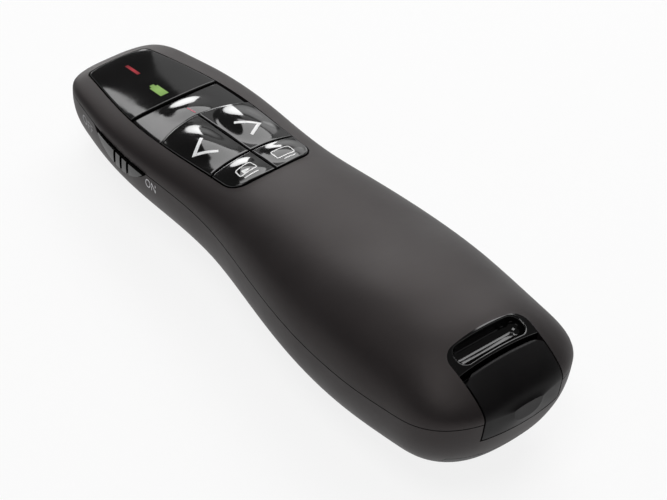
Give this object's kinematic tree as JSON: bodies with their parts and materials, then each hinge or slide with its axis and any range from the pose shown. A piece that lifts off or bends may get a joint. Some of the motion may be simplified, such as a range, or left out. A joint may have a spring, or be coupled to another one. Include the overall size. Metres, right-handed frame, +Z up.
{
  "type": "presentation clicker",
  "caption": "Handheld wireless presentation clicker with a waisted casing, domed thumb keys, an indicator window, a side slider, a laser nose and a tail-docked USB receiver.",
  "frame": {"origin": "under the middle of the body, on the plane that the belly rests on", "axes": "+Y along the body towards the laser nose, +Z up through the keypad, +X to the right as held"},
  "size_m": [0.038, 0.1152, 0.027],
  "materials": {
    "soft_black": "soft-touch matte",
    "gloss_black": "gloss",
    "smoked_window": "polished smoked lens",
    "black_nylon": "moulded",
    "circuit_board": "solder mask",
    "steel": "plated",
    "brass": "bright",
    "cell": "satin sleeve",
    "clear": "clear"
  },
  "bodies": {
    "housing": {"top_cover": "soft_black", "bottom_cover": "soft_black", "indicator_window": "smoked_window", "tact_switches": "black_nylon", "main_board": "circuit_board", "slide_switch_housing": "steel", "laser_aperture": "gloss_black", "laser_barrel": "brass", "laser_lens": "clear", "laser_diode": "steel", "dock_scoop": "gloss_black", "battery_tray": "black_nylon", "battery_left": "cell", "battery_right": "cell", "battery_springs": "steel", "battery_terminals": "steel", "battery_bridge": "steel", "battery_leads": "steel", "indicator_lamps": "clear", "light_guides": "clear", "radio_chip": "black_nylon", "controller_chip": "black_nylon", "crystal": "steel", "housing_screws": "steel", "board_screws": "steel"},
    "receiver": {"receiver_cap": "soft_black", "receiver_body": "black_nylon", "receiver_plug_shell": "steel", "receiver_tongue": "black_nylon", "receiver_contacts": "brass", "receiver_board": "circuit_board", "receiver_chip": "black_nylon"},
    "battery_door": {"battery_door": "soft_black"},
    "power_slider": {"power_slider": "gloss_black", "slide_switch_lever": "black_nylon"},
    "laser_key": {"laser_button": "gloss_black", "laser_stem": "black_nylon"},
    "next_key": {"next_button": "gloss_black", "next_stem": "black_nylon"},
    "previous_key": {"previous_button": "gloss_black", "previous_stem": "black_nylon"},
    "blank_screen_key": {"blank_screen_button": "gloss_black", "blank_screen_stem": "black_nylon"},
    "slideshow_key": {"slideshow_button": "gloss_black", "slideshow_stem": "black_nylon"}
  },
  "joints": [
    {"name": "receiver_slide", "type": "slide", "parent": "housing", "child": "receiver", "axis": [0, -1, 0], "range_m": [0, 0.062]},
    {"name": "battery_door_slide", "type": "slide", "parent": "housing", "child": "battery_door", "axis": [0, -1, 0], "range_m": [0, 0.008]},
    {"name": "power_slide", "type": "slide", "parent": "housing", "child": "power_slider", "axis": [0, 1, 0], "range_m": [0, 0.002]},
    {"name": "laser_press", "type": "slide", "parent": "housing", "child": "laser_key", "axis": [0, 0, -1], "range_m": [0, 0.0005], "stiffness_N_per_m": 900, "springref_m": -0.0004},
    {"name": "next_press", "type": "slide", "parent": "housing", "child": "next_key", "axis": [0, 0, -1], "range_m": [0, 0.0005], "stiffness_N_per_m": 900, "springref_m": -0.0004},
    {"name": "previous_press", "type": "slide", "parent": "housing", "child": "previous_key", "axis": [0, 0, -1], "range_m": [0, 0.0005], "stiffness_N_per_m": 900, "springref_m": -0.0004},
    {"name": "blank_screen_press", "type": "slide", "parent": "housing", "child": "blank_screen_key", "axis": [0, 0, -1], "range_m": [0, 0.0005], "stiffness_N_per_m": 900, "springref_m": -0.0004},
    {"name": "slideshow_press", "type": "slide", "parent": "housing", "child": "slideshow_key", "axis": [0, 0, -1], "range_m": [0, 0.0005], "stiffness_N_per_m": 900, "springref_m": -0.0004}
  ]
}
